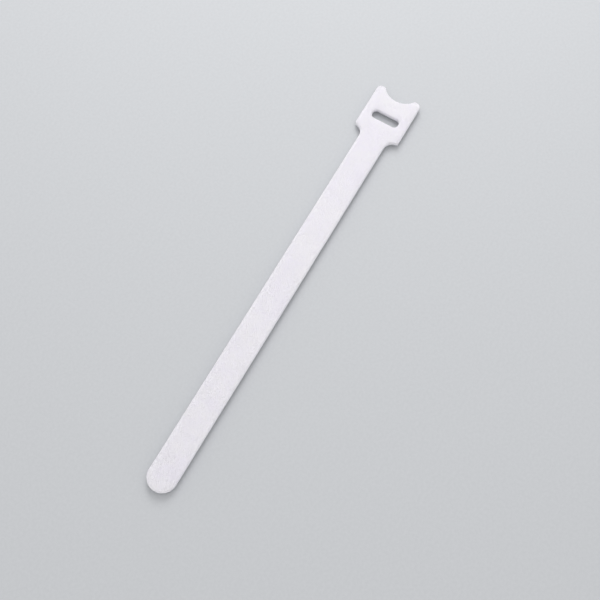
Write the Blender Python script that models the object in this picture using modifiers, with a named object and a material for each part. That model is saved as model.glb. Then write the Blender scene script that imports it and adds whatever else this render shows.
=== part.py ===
"""Reusable hook and loop cable tie: one flat strap with a round tip and a slotted, eared head.

The strap is two tapes bonded back to back. The upper side is brushed loop pile with soft
rounded edges, the middle is the film that both tapes share, and the lower side is the hook
tape, whose rows of barbed rails run the length of the strap. The tip goes through the slot
and the hooks close on the loop pile.

Metres, +Z up, +X along the strap towards the head. The origin is the centre of the
footprint, at the level of the hook tips that the tie lies on.
"""

import math

import bmesh
import bpy

MM = 0.001

# Plan of the tie
LENGTH = 200.0 * MM
STRAP_WIDTH = 12.4 * MM
HEAD_WIDTH = 21.4 * MM
HEAD_LENGTH = 22.4 * MM
NECK_RADIUS = 4.4 * MM
SHOULDER_RADIUS = 1.0 * MM
EAR_OUTER_RADIUS = 2.2 * MM
EAR_INNER_RADIUS = 1.5 * MM
DIP_RADIUS = 8.8 * MM
DIP_DEPTH = 3.9 * MM

# Slot across the head, wide enough for the strap's own tip
SLOT_WIDTH = 4.2 * MM
SLOT_LENGTH = 12.6 * MM
SLOT_CORNER_RADIUS = 1.7 * MM
SLOT_FROM_HEAD_END = 13.9 * MM

# Section through the thickness, from the hook tips up
HOOK_HEIGHT = 1.1 * MM
FILM_THICKNESS = 0.4 * MM
THICKNESS = 3.6 * MM
PILE_ROUNDING = 0.65 * MM
FILM_SETBACK = 0.1 * MM

# Barbed rails of the hook tape
RAIL_PITCH = 1.25 * MM
RAIL_COUNT = 15
RAIL_MARGIN = 0.55 * MM
RAIL_HALF_SECTION = (
    # millimetres across from the rail's middle, and up from the hook tips
    (0.15, 1.3),
    (0.15, 0.45),
    (0.345, 0.61),
    (0.42, 0.53),
    (0.378, 0.225),
    (0.302, 0.09),
    (0.2, 0.0),
)

# Facets of each round part, up to the centre line where one crosses it
TIP_SEGMENTS = 14
DIP_SEGMENTS = 9
NECK_SEGMENTS = 8
CORNER_SEGMENTS = 6
EAR_INNER_SEGMENTS = 4
PILE_SEGMENTS = 4

WELD_DISTANCE = 0.002 * MM
SHARP_ANGLE = math.radians(40)
WHITE_NYLON = (0.86, 0.86, 0.89, 1.0)


def clear_scene():
    for item in list(bpy.data.objects):
        bpy.data.objects.remove(item)


def new_collection(name):
    collection = bpy.data.collections.new(name)
    bpy.context.scene.collection.children.link(collection)
    return collection


def fabric_material():
    material = bpy.data.materials.new("white_nylon_pile")
    material.use_nodes = True
    shader = material.node_tree.nodes["Principled BSDF"]
    shader.inputs["Base Color"].default_value = WHITE_NYLON
    shader.inputs["Roughness"].default_value = 0.9
    shader.inputs["Metallic"].default_value = 0.0
    return material


def arc(centre, radius, start_degrees, end_degrees, segments):
    """Points on an arc, both ends included."""
    points = []
    for step in range(segments + 1):
        angle = math.radians(start_degrees + (end_degrees - start_degrees) * step / segments)
        points.append((centre[0] + radius * math.cos(angle), centre[1] + radius * math.sin(angle)))
    return points


def half_outline(inset):
    """The tie's edge on the +Y side, from the tip's centre line to the head's, moved inwards by inset."""
    tip_radius = STRAP_WIDTH / 2
    tip_centre = (-LENGTH / 2 + tip_radius, 0.0)
    head_end = LENGTH / 2
    head_side = HEAD_WIDTH / 2
    shoulder = head_end - HEAD_LENGTH

    neck_centre = (shoulder - NECK_RADIUS, STRAP_WIDTH / 2 + NECK_RADIUS)
    shoulder_y = head_side - SHOULDER_RADIUS
    drop = neck_centre[1] - shoulder_y
    reach = math.sqrt((NECK_RADIUS + SHOULDER_RADIUS) ** 2 - drop ** 2)
    shoulder_centre = (neck_centre[0] + reach, shoulder_y)
    neck_angle = math.degrees(math.atan2(drop, reach))

    ear_centre = (head_end - EAR_OUTER_RADIUS, head_side - EAR_OUTER_RADIUS)
    dip_centre = (head_end - DIP_DEPTH + DIP_RADIUS, 0.0)
    inner_x = head_end - EAR_INNER_RADIUS
    across = dip_centre[0] - inner_x
    inner_y = math.sqrt((DIP_RADIUS + EAR_INNER_RADIUS) ** 2 - across ** 2)
    dip_angle = math.degrees(math.atan2(inner_y, across))

    points = arc(tip_centre, tip_radius - inset, 180, 90, TIP_SEGMENTS)
    points += arc(neck_centre, NECK_RADIUS + inset, -90, -neck_angle, NECK_SEGMENTS)
    points += arc(shoulder_centre, SHOULDER_RADIUS - inset, 180 - neck_angle, 90, CORNER_SEGMENTS)
    points += arc(ear_centre, EAR_OUTER_RADIUS - inset, 90, 0, CORNER_SEGMENTS)
    points += arc((inner_x, inner_y), EAR_INNER_RADIUS - inset, 0, -dip_angle, EAR_INNER_SEGMENTS)
    points += arc(dip_centre, DIP_RADIUS + inset, 180 - dip_angle, 180, DIP_SEGMENTS)[1:]
    return points


def full_outline(inset):
    """The whole edge of the tie, moved inwards by inset."""
    half = half_outline(inset)
    other_half = [(x, -y) for x, y in reversed(half[1:-1])]
    return half + other_half


def slot_outline(inset):
    """The slot's edge, moved into the fabric by inset."""
    radius = SLOT_CORNER_RADIUS + inset
    straight_x = SLOT_WIDTH / 2 - SLOT_CORNER_RADIUS
    straight_y = SLOT_LENGTH / 2 - SLOT_CORNER_RADIUS
    slot_x = LENGTH / 2 - SLOT_FROM_HEAD_END
    points = []
    for side_x, side_y, start in ((1, 1, 0), (-1, 1, 90), (-1, -1, 180), (1, -1, 270)):
        centre = (slot_x + side_x * straight_x, side_y * straight_y)
        points += arc(centre, radius, start, start + 90, CORNER_SEGMENTS)
    return points


def flat_curve(name, outlines, half_height, rounding=0.0):
    """A filled plan outline with holes, extruded both ways, its edges rounded over within the outline."""
    curve = bpy.data.curves.new(name, "CURVE")
    curve.dimensions = "2D"
    curve.fill_mode = "BOTH"
    curve.extrude = half_height - rounding
    curve.bevel_depth = rounding
    curve.bevel_resolution = PILE_SEGMENTS - 1
    curve.offset = -rounding
    for outline in outlines:
        spline = curve.splines.new("POLY")
        spline.points.add(len(outline) - 1)
        for point, (x, y) in zip(spline.points, outline):
            point.co = (x, y, 0.0, 1.0)
        spline.use_cyclic_u = True
    return curve


def mesh_object(name, curve, collection, location=(0.0, 0.0, 0.0), rotation=(0.0, 0.0, 0.0)):
    """The curve's shape as a closed mesh object with its place applied."""
    guide = bpy.data.objects.new(name + "_curve", curve)
    guide.location = location
    guide.rotation_euler = rotation
    collection.objects.link(guide)
    bpy.context.view_layer.update()
    evaluated = guide.evaluated_get(bpy.context.evaluated_depsgraph_get())
    mesh = bpy.data.meshes.new_from_object(evaluated)
    mesh.transform(guide.matrix_world)
    bpy.data.objects.remove(guide)

    cage = bmesh.new()
    cage.from_mesh(mesh)
    bmesh.ops.remove_doubles(cage, verts=cage.verts, dist=WELD_DISTANCE)
    bmesh.ops.recalc_face_normals(cage, faces=cage.faces)
    cage.to_mesh(mesh)
    cage.free()
    mesh.shade_smooth()
    mesh.set_sharp_from_angle(angle=SHARP_ANGLE)

    item = bpy.data.objects.new(name, mesh)
    collection.objects.link(item)
    return item


def as_cutter(item):
    item.hide_render = True
    item.display_type = "WIRE"
    return item


def add_boolean(item, name, operation, other):
    modifier = item.modifiers.new(name, "BOOLEAN")
    modifier.operation = operation
    modifier.solver = "EXACT"
    modifier.object = other


def rail_profile():
    """Section of one rail: a stem rooted in the film, with a barb on each side of its crown."""
    right = [(across * MM, up * MM) for across, up in RAIL_HALF_SECTION]
    left = [(-x, y) for x, y in reversed(right)]
    return right + left


def make_hook_rows(collection):
    """All rails of the hook tape, trimmed to end inside the tie's edge and clear of the slot."""
    profile = flat_curve("rail_section", [rail_profile()], LENGTH / 2)
    upright_along_x = (math.pi / 2, 0.0, math.pi / 2)
    first_row = (0.0, -RAIL_PITCH * (RAIL_COUNT - 1) / 2, 0.0)
    rails = mesh_object("hook_rows", profile, collection, first_row, upright_along_x)

    rows = rails.modifiers.new("rows across the tape", "ARRAY")
    rows.count = RAIL_COUNT
    rows.use_relative_offset = False
    rows.use_constant_offset = True
    rows.constant_offset_displace = (0.0, RAIL_PITCH, 0.0)

    outlines = [full_outline(RAIL_MARGIN), slot_outline(RAIL_MARGIN)]
    field = mesh_object("hook_field", flat_curve("hook_field", outlines, THICKNESS), collection)
    add_boolean(rails, "trim to the field", "INTERSECT", as_cutter(field))
    return as_cutter(rails)


def make_film(collection):
    """The film in the middle, which both tapes are bonded to."""
    outlines = [full_outline(FILM_SETBACK), slot_outline(FILM_SETBACK)]
    curve = flat_curve("film", outlines, FILM_THICKNESS / 2)
    height = HOOK_HEIGHT + FILM_THICKNESS / 2
    return as_cutter(mesh_object("film", curve, collection, (0.0, 0.0, height)))


def make_tie(parts, cutters, material):
    """The loop pile with its soft edge, joined to the film and the hook rows below it."""
    pile_height = THICKNESS - HOOK_HEIGHT
    curve = flat_curve("loop_pile", [full_outline(0.0), slot_outline(0.0)], pile_height / 2, PILE_ROUNDING)
    tie = mesh_object("cable_tie", curve, parts, (0.0, 0.0, HOOK_HEIGHT + pile_height / 2))
    add_boolean(tie, "join film", "UNION", make_film(cutters))
    add_boolean(tie, "join hook rows", "UNION", make_hook_rows(cutters))
    tie.data.materials.clear()
    tie.data.materials.append(material)
    return tie


def main():
    clear_scene()
    parts = new_collection("hook_and_loop_cable_tie")
    cutters = new_collection("cutters")
    make_tie(parts, cutters, fabric_material())


main()
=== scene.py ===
"""The finish of the reusable hook and loop cable tie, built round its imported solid.

The tie is a brushed nylon loop tape and a moulded nylon hook tape bonded back to back and die
cut to one outline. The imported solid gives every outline: its own slices become the loop pile
and the film, and its own rails say where each row of hooks stands.
"""

import math

import bmesh
import bpy
import numpy as np
from mathutils import Matrix, Vector, kdtree, noise


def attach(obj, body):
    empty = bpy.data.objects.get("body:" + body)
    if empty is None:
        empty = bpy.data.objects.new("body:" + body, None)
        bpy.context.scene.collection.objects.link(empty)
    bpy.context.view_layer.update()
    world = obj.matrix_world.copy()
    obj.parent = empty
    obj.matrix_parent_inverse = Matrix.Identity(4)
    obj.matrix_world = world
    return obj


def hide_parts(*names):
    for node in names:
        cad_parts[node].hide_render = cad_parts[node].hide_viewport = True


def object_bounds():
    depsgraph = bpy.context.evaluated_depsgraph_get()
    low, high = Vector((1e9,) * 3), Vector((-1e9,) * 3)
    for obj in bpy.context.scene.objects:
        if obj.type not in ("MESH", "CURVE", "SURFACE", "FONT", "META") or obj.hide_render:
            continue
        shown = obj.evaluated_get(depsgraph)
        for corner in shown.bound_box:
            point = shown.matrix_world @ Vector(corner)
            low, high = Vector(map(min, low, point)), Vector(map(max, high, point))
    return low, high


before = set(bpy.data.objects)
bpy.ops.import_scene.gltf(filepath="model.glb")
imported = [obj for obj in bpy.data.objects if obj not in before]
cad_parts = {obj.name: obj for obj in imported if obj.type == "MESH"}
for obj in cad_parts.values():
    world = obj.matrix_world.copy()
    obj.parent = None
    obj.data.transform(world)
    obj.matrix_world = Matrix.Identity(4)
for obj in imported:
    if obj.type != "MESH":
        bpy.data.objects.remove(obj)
cad_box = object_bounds()

MM = 0.001
TIE = "cable_tie"
BODY = "root"

# Section of the tape, from the hook crowns up: the film is cut with a low ridge along each row
RIDGE_BOTTOM = 0.85 * MM
FILM_TOP = 1.5 * MM
CUT_CLEARANCE = 0.004 * MM
WELD_DISTANCE = 0.001 * MM

# Ground of the loop pile: a knit set back for the loops, in small tufts, lower at its cut edges
PILE_VOXEL = 0.27 * MM
RELAX_STEPS = 2
PILE_SETBACK = 0.2 * MM
TUFT_SIZE = 0.8 * MM
TUFT_RELIEF = 0.18 * MM
TUFT_LEVEL = 0.4  # tuft sizes away from a tuft's middle, where the pile lies just at its setback
SIDE_SHARE = 0.3  # share of the setback and relief left on the cut sides, which have no loops
EDGE_DROP = 0.25 * MM
EDGE_REACH = 2.6 * MM
WALE_PITCH = 0.8 * MM
WALE_SCALE = 2 * math.pi / 20 / WALE_PITCH  # a wave texture repeats every 2 pi / 20 at scale 1

# Upward share of a face's normal, which tells the parts of the pile's surface apart
LOOPED_ABOVE = 0.6
SIDE_BELOW = 0.3
GLUED_BELOW = -0.5
FLAT_BELOW = -0.99

# Brushed loops on the pile
LOOP_PIECES = 4
LOOPS_A_PIECE = 5600
LOOP_SEGMENTS = 5
LOOP_SIDES = 3
LOOP_WIDTHS = (0.35 * MM, 0.7 * MM)
LOOP_HEIGHTS = (0.144 * MM, 0.264 * MM)
LOOP_LEAN = 0.2 * MM
LOOP_ROOT = math.radians(30)  # how far each end of the arch turns in below the pile
LOOPS_BOTTOM = 2.3 * MM
FILAMENT_RADIUS = 0.032 * MM  # coarser than real filament, so that a loop takes few faces
SPREAD_SEED = 7
LEAST_LENGTH = 1e-20  # keeps a face of no area from dividing by zero

# Moulded hooks, in the rows where the solid has its rails
HOOK_PITCH = 1.3 * MM
HOOK_END_MARGIN = 0.6 * MM
HOOK_SIDES = 6
HOOK_PATH = (
    # across the row, above the crowns, radius, all in mm
    (-0.12, 1.16, 0.19),
    (-0.13, 0.85, 0.15),
    (-0.11, 0.50, 0.13),
    (-0.03, 0.23, 0.12),
    (0.12, 0.11, 0.11),
    (0.27, 0.15, 0.09),
    (0.34, 0.30, 0.07),
    (0.33, 0.44, 0.03),
)

# Camera, from the photograph's view of the strap and head
FRAME_PIXELS = 600
FOCAL_PIXELS = 887.5
SENSOR_WIDTH = 36.0
STRAP_TURN = math.radians(59.8)
CAMERA_TILT = math.radians(18.14)
CAMERA_HEIGHT = 348.6 * MM
CAMERA_SIDE = 5.8 * MM
CAMERA_BACK = 122.7 * MM
NEAREST_SEEN = 10 * MM
FARTHEST_SEEN = 20.0

# Studio
FLOOR_SIZE = 80.0
LAMP_SIZE = 400 * MM
LAMP_UP = 440 * MM
LAMP_RIGHT = 40 * MM
LAMP_HEIGHT = 440 * MM
LAMP_WATTS = 1.75
SURROUND_STRENGTH = 0.79


def linear(code):
    """An sRGB hex colour as linear RGBA."""
    channels = [int(code[i:i + 2], 16) / 255 for i in (1, 3, 5)]
    return tuple(c / 12.92 if c <= 0.04045 else ((c + 0.055) / 1.055) ** 2.4 for c in channels) + (1.0,)


def set_inputs(item, values):
    for socket, value in values.items():
        item.inputs[socket].default_value = value


def add_node(tree, kind, settings=None, values=None, links=None):
    """A new node with its settings, its input values and its links from other nodes' outputs."""
    item = tree.nodes.new(kind)
    for name, value in (settings or {}).items():
        setattr(item, name, value)
    set_inputs(item, values or {})
    for socket, source in (links or {}).items():
        tree.links.new(source, item.inputs[socket])
    return item


def new_material(name, shader_values):
    """A material with its node tree, its shader and the surface's own position in metres."""
    material = bpy.data.materials.new(name)
    material.use_nodes = True
    tree = material.node_tree
    shader = tree.nodes["Principled BSDF"]
    set_inputs(shader, shader_values)
    place = add_node(tree, "ShaderNodeTexCoord").outputs["Object"]
    return material, tree, shader, place


def grain(tree, place, size, detail=2.0):
    """Soft noise whose grains are size metres wide."""
    values = {"Scale": 1 / size, "Detail": detail, "Roughness": 0.6}
    return add_node(tree, "ShaderNodeTexNoise", values=values, links={"Vector": place}).outputs["Fac"]


def two_tones(tree, factor, first, second):
    """A colour between two hex colours, spread over the middle of a noise's range."""
    middle = {"From Min": 0.35, "From Max": 0.65}
    spread = add_node(tree, "ShaderNodeMapRange", values=middle, links={"Value": factor})
    # The node's colour sockets share their names with others, so they go by number
    settings = {"data_type": "RGBA"}
    values = {6: linear(first), 7: linear(second)}
    links = {0: spread.outputs["Result"]}
    return add_node(tree, "ShaderNodeMix", settings, values, links).outputs[2]


def bump(tree, height, depth, normal=None):
    """A surface whose height varies by depth metres, on top of another bump where one is given."""
    links = {"Height": height}
    if normal:
        links["Normal"] = normal
    return add_node(tree, "ShaderNodeBump", values={"Distance": depth}, links=links).outputs["Normal"]


def brushed_nylon_loop():
    """Nylon filament, warp knitted in fine lengthwise wales and brushed: matt white, faintly cool."""
    values = {
        "Roughness": 0.9,
        "IOR": 1.53,
        "Specular IOR Level": 0.25,
        "Sheen Weight": 0.1,
        "Sheen Roughness": 0.5,
        "Subsurface Weight": 0.5,
        "Subsurface Radius": (1.0, 1.0, 1.0),
        "Subsurface Scale": 0.5 * MM,
    }
    material, tree, shader, place = new_material("brushed_nylon_loop", values)
    mottle = two_tones(tree, grain(tree, place, 11 * MM), "#F7F4FE", "#FAF8FD")
    tree.links.new(mottle, shader.inputs["Base Color"])
    lengthwise = {"bands_direction": "Y"}
    values = {"Scale": WALE_SCALE, "Distortion": 1.5, "Detail": 1.0}
    wales = add_node(tree, "ShaderNodeTexWave", lengthwise, values, {"Vector": place}).outputs["Fac"]
    knit = bump(tree, wales, 0.03 * MM)
    brushed = bump(tree, grain(tree, place, 0.25 * MM, 3.0), 0.12 * MM, knit)
    tree.links.new(brushed, shader.inputs["Normal"])
    return material


def nylon_filament():
    """Drawn nylon filament in loose loops: round white thread, a little smoother than the knit below."""
    values = {"Roughness": 0.65, "IOR": 1.53, "Specular IOR Level": 0.25}
    material, tree, shader, place = new_material("nylon_filament", values)
    tone = two_tones(tree, grain(tree, place, 1.5 * MM), "#F9F6FE", "#FCFAFD")
    tree.links.new(tone, shader.inputs["Base Color"])
    return material


def cast_nylon_film():
    """Nylon film cast between the two tapes: smooth, a shade darker, scuffed where the knife cut it."""
    values = {"Roughness": 0.5, "IOR": 1.53, "Specular IOR Level": 0.35}
    material, tree, shader, place = new_material("cast_nylon_film", values)
    scuffs = grain(tree, place, 0.5 * MM)
    tree.links.new(two_tones(tree, scuffs, "#E0E0E6", "#EAEAEE"), shader.inputs["Base Color"])
    tree.links.new(bump(tree, scuffs, 0.008 * MM), shader.inputs["Normal"])
    return material


def moulded_nylon():
    """Nylon moulded into hooks: white and satin, a little clouded where it flowed into the mould."""
    values = {"Roughness": 0.4, "IOR": 1.53, "Specular IOR Level": 0.4}
    material, tree, shader, place = new_material("moulded_nylon", values)
    flow = grain(tree, place, 0.8 * MM)
    tree.links.new(two_tones(tree, flow, "#ECECF0", "#F6F6F8"), shader.inputs["Base Color"])
    tree.links.new(bump(tree, flow, 0.01 * MM), shader.inputs["Normal"])
    return material


def pale_paper():
    """Uncoated backdrop paper: pale grey, matt, with a faint fibre."""
    values = {"Roughness": 0.95, "Specular IOR Level": 0.0}
    material, tree, shader, place = new_material("pale_paper", values)
    fibre = grain(tree, place, 1.2 * MM)
    tree.links.new(two_tones(tree, fibre, "#C6C8CB", "#C9CBCE"), shader.inputs["Base Color"])
    tree.links.new(bump(tree, fibre, 0.01 * MM), shader.inputs["Normal"])
    return material


def solid_slice(low=None, high=None):
    """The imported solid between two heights, closed where it is cut."""
    body = bmesh.new()
    body.from_mesh(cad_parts[TIE].data)
    bmesh.ops.remove_doubles(body, verts=body.verts, dist=WELD_DISTANCE)
    for height, outward in ((low, -1), (high, 1)):
        if height is None:
            continue
        geometry = body.verts[:] + body.edges[:] + body.faces[:]
        plane = {"plane_co": (0, 0, height), "plane_no": (0, 0, outward)}
        cut = bmesh.ops.bisect_plane(body, geom=geometry, clear_outer=True, **plane)
        rim = [item for item in cut["geom_cut"] if isinstance(item, bmesh.types.BMEdge)]
        bmesh.ops.triangle_fill(body, edges=rim, use_beauty=True, use_dissolve=False)
    bmesh.ops.recalc_face_normals(body, faces=body.faces)
    return body


def mesh_from(body, name):
    mesh = bpy.data.meshes.new(name)
    body.to_mesh(mesh)
    body.free()
    return mesh


def show(name, mesh, material):
    """A piece of the tie, riding on its body."""
    piece = bpy.data.objects.new(name, mesh)
    bpy.context.scene.collection.objects.link(piece)
    mesh.materials.clear()
    mesh.materials.append(material)
    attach(piece, BODY)
    return piece


def even_mesh(mesh):
    """The same closed shape in small even faces."""
    guide = bpy.data.objects.new("guide", mesh)
    bpy.context.scene.collection.objects.link(guide)
    remesh = guide.modifiers.new("even faces", "REMESH")
    remesh.mode = "VOXEL"
    remesh.voxel_size = PILE_VOXEL
    relax = guide.modifiers.new("relaxed faces", "SMOOTH")
    relax.iterations = RELAX_STEPS
    bpy.context.view_layer.update()
    evaluated = guide.evaluated_get(bpy.context.evaluated_depsgraph_get())
    even = bpy.data.meshes.new_from_object(evaluated)
    bpy.data.objects.remove(guide)
    return even


def edge_distances(places, normals):
    """How far each place lies from the cut edge of the tie or its slot, seen from above."""
    sides = [place for place, normal in zip(places, normals) if abs(normal.z) < SIDE_BELOW]
    nearest = kdtree.KDTree(len(sides))
    for index, place in enumerate(sides):
        nearest.insert((place.x, place.y, 0), index)
    nearest.balance()
    # A search gives the nearest place, its index and its distance
    return [nearest.find((place.x, place.y, 0))[2] for place in places]


def crown(places, normals):
    """The pile pressed down towards its cut edges."""
    pile_height = cad_box[1][2] - FILM_TOP
    for place, distance in zip(places, edge_distances(places, normals)):
        drop = EDGE_DROP * max(1 - distance / EDGE_REACH, 0) ** 2
        place.z -= drop * (place.z - FILM_TOP) / pile_height


def tufted(place, normal):
    """A place on the pile, set back for the loops and less so at a tuft's middle."""
    if normal.z <= GLUED_BELOW:
        return place
    exposed = SIDE_SHARE + (1 - SIDE_SHARE) * max(normal.z, 0)
    distances, _ = noise.voronoi(place / TUFT_SIZE)
    from_tuft = distances[0]
    return place - normal * exposed * (PILE_SETBACK + TUFT_RELIEF * (from_tuft - TUFT_LEVEL))


def join_hidden_faces(mesh):
    """The pile's flat underside, which the film covers, in as few faces as it needs."""
    body = bmesh.new()
    body.from_mesh(mesh)
    inner = []
    for edge in body.edges:
        if all(face.normal.z < FLAT_BELOW for face in edge.link_faces):
            inner.append(edge)
    bmesh.ops.dissolve_edges(body, edges=inner, use_verts=True)
    body.to_mesh(mesh)
    body.free()


def make_loop_pile():
    """The ground of the loop pile, from the solid's upper slice."""
    mesh = even_mesh(mesh_from(solid_slice(low=FILM_TOP + CUT_CLEARANCE), "pile_slice"))
    places = [vertex.co.copy() for vertex in mesh.vertices]
    normals = [normal.vector.copy() for normal in mesh.vertex_normals]
    crown(places, normals)
    moved = []
    for place, normal in zip(places, normals):
        moved.extend(tufted(place, normal))
    mesh.vertices.foreach_set("co", moved)
    join_hidden_faces(mesh)
    mesh.shade_smooth()
    return show("loop_pile", mesh, brushed_nylon_loop())


def spread_points(mesh, count):
    """Places spread evenly over the pile's top and its rounded edges, with their normals."""
    chance = np.random.default_rng(SPREAD_SEED)
    mesh.calc_loop_triangles()
    corners = np.array([[mesh.vertices[i].co for i in face.vertices] for face in mesh.loop_triangles])
    cross = np.cross(corners[:, 1] - corners[:, 0], corners[:, 2] - corners[:, 0])
    length = np.linalg.norm(cross, axis=1)
    normals = cross / np.maximum(length, LEAST_LENGTH)[:, None]
    brushed = (normals[:, 2] > LOOPED_ABOVE) & (corners[:, :, 2].min(axis=1) > LOOPS_BOTTOM)
    reach = np.cumsum(np.where(brushed, length, 0.0))
    picked = np.searchsorted(reach, (np.arange(count) + 0.5) / count * reach[-1])
    share = chance.random((count, 2))
    over = share.sum(axis=1) > 1
    share[over] = 1 - share[over]
    first, second, third = corners[picked].transpose(1, 0, 2)
    points = first + (second - first) * share[:, :1] + (third - first) * share[:, 1:]
    return points, normals[picked]


def tube_faces(rings, sides):
    """Faces of one closed tube whose rings follow each other in its list of vertices."""
    faces = []
    for ring in range(rings - 1):
        for side in range(sides):
            near = ring * sides + side
            far = ring * sides + (side + 1) % sides
            faces.append((near, far, far + sides, near + sides))
    last = (rings - 1) * sides
    return faces, tuple(range(sides)), tuple(last + side for side in range(sides))


def make_loops(name, points, normals, material, seed):
    """Loose loops of filament standing on the pile, each a thin arch that leans its own way."""
    count = len(points)
    chance = np.random.default_rng(seed)
    turn = chance.uniform(0, 2 * math.pi, count)
    any_way = np.stack([np.cos(turn), np.sin(turn), np.zeros(count)], axis=1)
    along = np.cross(normals, any_way)
    along /= np.linalg.norm(along, axis=1)[:, None]
    across = np.cross(normals, along)
    width = chance.uniform(*LOOP_WIDTHS, count)
    height = chance.uniform(*LOOP_HEIGHTS, count)
    lean = LOOP_LEAN * chance.uniform(-1, 1, count)

    vertices = []
    for ring in range(LOOP_SEGMENTS + 1):
        angle = (math.pi + 2 * LOOP_ROOT) * ring / LOOP_SEGMENTS - LOOP_ROOT
        rise = math.sin(angle)
        centre = points - along * (width * math.cos(angle) / 2)[:, None]
        centre = centre + normals * (height * rise)[:, None] + across * (lean * rise)[:, None]
        outward = normals * rise - along * math.cos(angle)
        for side in range(LOOP_SIDES):
            around = 2 * math.pi * side / LOOP_SIDES
            offset = outward * math.cos(around) + across * math.sin(around)
            vertices.append(centre + FILAMENT_RADIUS * offset)
    loop_size = len(vertices)
    vertices = np.stack(vertices, axis=1).reshape(-1, 3)

    walls, first_end, last_end = tube_faces(LOOP_SEGMENTS + 1, LOOP_SIDES)
    one = [first_end, last_end[::-1]]
    # Each wall is two triangles, turned to face out of the arch's tube
    for a, b, c, d in walls:
        one += [(a, c, b), (a, d, c)]
    faces = (np.array(one)[None] + (np.arange(count) * loop_size)[:, None, None]).reshape(-1, 3)
    mesh = bpy.data.meshes.new(name)
    mesh.from_pydata(vertices.tolist(), [], faces.tolist())
    mesh.shade_smooth()
    return show(name, mesh, material)


def make_film():
    """The film between the tapes, with the ridges that the hooks stand on."""
    body = solid_slice(low=RIDGE_BOTTOM, high=FILM_TOP)
    return show("bonding_film", mesh_from(body, "bonding_film"), cast_nylon_film())


def take_island(faces):
    """One patch of faces that meet at edges, taken out of the set."""
    island = []
    waiting = [faces.pop()]
    while waiting:
        face = waiting.pop()
        island.append(face)
        for edge in face.edges:
            for other in edge.link_faces:
                if other in faces:
                    faces.remove(other)
                    waiting.append(other)
    return island


def rail_runs():
    """Where each rail of the solid runs: its middle across the tie, and where it starts and ends."""
    body = solid_slice()
    crowns = {face for face in body.faces if max(v.co.z for v in face.verts) < CUT_CLEARANCE}
    runs = []
    while crowns:
        places = [vertex.co for face in take_island(crowns) for vertex in face.verts]
        xs = [place.x for place in places]
        ys = [place.y for place in places]
        runs.append(((min(ys) + max(ys)) / 2, min(xs), max(xs)))
    body.free()
    return sorted(runs)


def hook_template():
    """One hook's vertices and faces, bending towards +Y, with its crown at z = 0."""
    path = np.array(HOOK_PATH) * MM
    vertices = []
    for index, (across, height, radius) in enumerate(path):
        before = path[max(index - 1, 0)]
        after = path[min(index + 1, len(path) - 1)]
        heading = math.atan2(after[1] - before[1], after[0] - before[0])
        for side in range(HOOK_SIDES):
            around = 2 * math.pi * side / HOOK_SIDES
            sideways = radius * math.cos(around)
            vertices.append((
                radius * math.sin(around),
                across - sideways * math.sin(heading),
                height + sideways * math.cos(heading),
            ))
    walls, first_end, last_end = tube_faces(len(path), HOOK_SIDES)
    return np.array(vertices), walls + [first_end[::-1], last_end]


def make_hooks():
    """Rows of moulded hooks under the film, bending to either side in turn."""
    template, template_faces = hook_template()
    vertices = []
    faces = []
    for row, (middle, start, end) in enumerate(rail_runs()):
        room = end - start - 2 * HOOK_END_MARGIN
        count = max(int(room / HOOK_PITCH), 1)
        step = room / count
        for index in range(count + 1):
            side = 1 if (index + row) % 2 else -1
            place = np.array([start + HOOK_END_MARGIN + step * index, middle, 0.0])
            offset = len(vertices) * len(template)
            vertices.append(template * (side, side, 1) + place)
            faces.extend(tuple(corner + offset for corner in face) for face in template_faces)
    mesh = bpy.data.meshes.new("hook_rows")
    mesh.from_pydata(np.concatenate(vertices).tolist(), [], faces)
    mesh.shade_smooth()
    return show("hook_rows", mesh, moulded_nylon())


def make_tie():
    """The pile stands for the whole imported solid, and the other pieces complete it."""
    pile = make_loop_pile()
    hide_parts(TIE)
    filament = nylon_filament()
    points, normals = spread_points(pile.data, LOOP_PIECES * LOOPS_A_PIECE)
    for first in range(LOOP_PIECES):
        number = first + 1
        own_points = points[first::LOOP_PIECES]
        own_normals = normals[first::LOOP_PIECES]
        make_loops(f"loops_{number}", own_points, own_normals, filament, seed=number)
    make_film()
    make_hooks()


def make_floor():
    """A wide sheet of pale paper under the tie."""
    bpy.ops.mesh.primitive_plane_add(size=FLOOR_SIZE, location=(0, 0, 0))
    floor = bpy.context.active_object
    floor.name = "floor"
    floor.data.materials.append(pale_paper())


def image_axes():
    """The photograph's right and up directions, laid on the floor."""
    right = Vector((math.cos(STRAP_TURN), -math.sin(STRAP_TURN), 0))
    up = Vector((math.sin(STRAP_TURN), math.cos(STRAP_TURN), 0))
    return right, up


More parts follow.
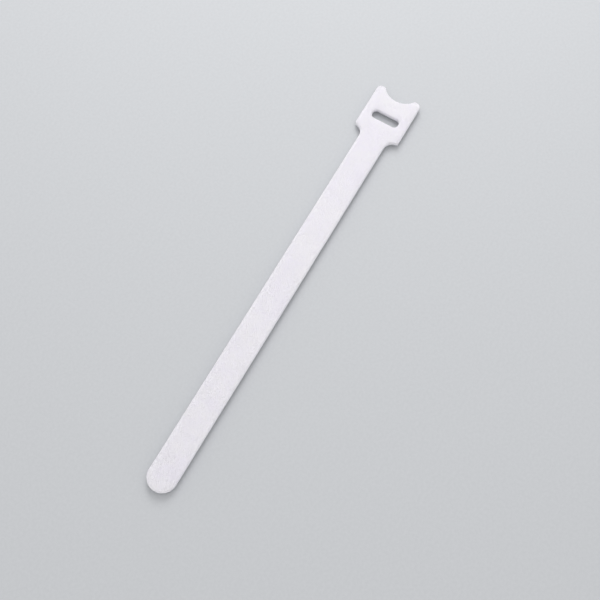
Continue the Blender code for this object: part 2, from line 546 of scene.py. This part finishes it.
def make_camera():
    """The photograph's view: from above and in front of the tip, with the head at the upper right."""
    right, up = image_axes()
    data = bpy.data.cameras.new("camera")
    data.sensor_width = SENSOR_WIDTH
    data.lens = FOCAL_PIXELS / FRAME_PIXELS * SENSOR_WIDTH
    data.clip_start = NEAREST_SEEN
    data.clip_end = FARTHEST_SEEN
    camera = bpy.data.objects.new("camera", data)
    bpy.context.scene.collection.objects.link(camera)
    place = right * CAMERA_SIDE - up * CAMERA_BACK + Vector((0, 0, CAMERA_HEIGHT))
    forward = up * math.sin(CAMERA_TILT) - Vector((0, 0, math.cos(CAMERA_TILT)))
    turn = Matrix((right, right.cross(forward), -forward)).transposed().to_4x4()
    camera.matrix_world = Matrix.Translation(place) @ turn
    bpy.context.scene.camera = camera


def make_lamp():
    """A large soft lamp above and behind the head."""
    right, up = image_axes()
    place = up * LAMP_UP + right * LAMP_RIGHT + Vector((0, 0, LAMP_HEIGHT))
    data = bpy.data.lights.new("soft_key", "AREA")
    data.shape = "DISK"
    data.size = LAMP_SIZE
    data.energy = LAMP_WATTS
    lamp = bpy.data.objects.new("soft_key", data)
    bpy.context.scene.collection.objects.link(lamp)
    lamp.location = place
    lamp.rotation_euler = (-place).to_track_quat("-Z", "Y").to_euler()


def make_surround():
    """Even white light from all round, seen by the camera, gloss and glass as the pale backdrop."""
    world = bpy.data.worlds.new("studio")
    bpy.context.scene.world = world
    world.use_nodes = True
    tree = world.node_tree
    surround = tree.nodes["Background"]
    set_inputs(surround, {"Color": linear("#FFFFFF"), "Strength": SURROUND_STRENGTH})
    values = {"Color": linear("#C8CACD"), "Strength": SURROUND_STRENGTH}
    backdrop = add_node(tree, "ShaderNodeBackground", values=values)
    ray = add_node(tree, "ShaderNodeLightPath")
    seen = ray.outputs["Is Camera Ray"]
    for other in ("Is Glossy Ray", "Is Transmission Ray"):
        links = {0: seen, 1: ray.outputs[other]}
        seen = add_node(tree, "ShaderNodeMath", {"operation": "MAXIMUM"}, links=links).outputs[0]
    links = {0: seen, 1: surround.outputs[0], 2: backdrop.outputs[0]}
    mix = add_node(tree, "ShaderNodeMixShader", links=links)
    tree.links.new(mix.outputs[0], tree.nodes["World Output"].inputs["Surface"])


make_camera()
make_floor()
make_lamp()
make_surround()
make_tie()
bpy.context.scene.view_settings.view_transform = "Standard"
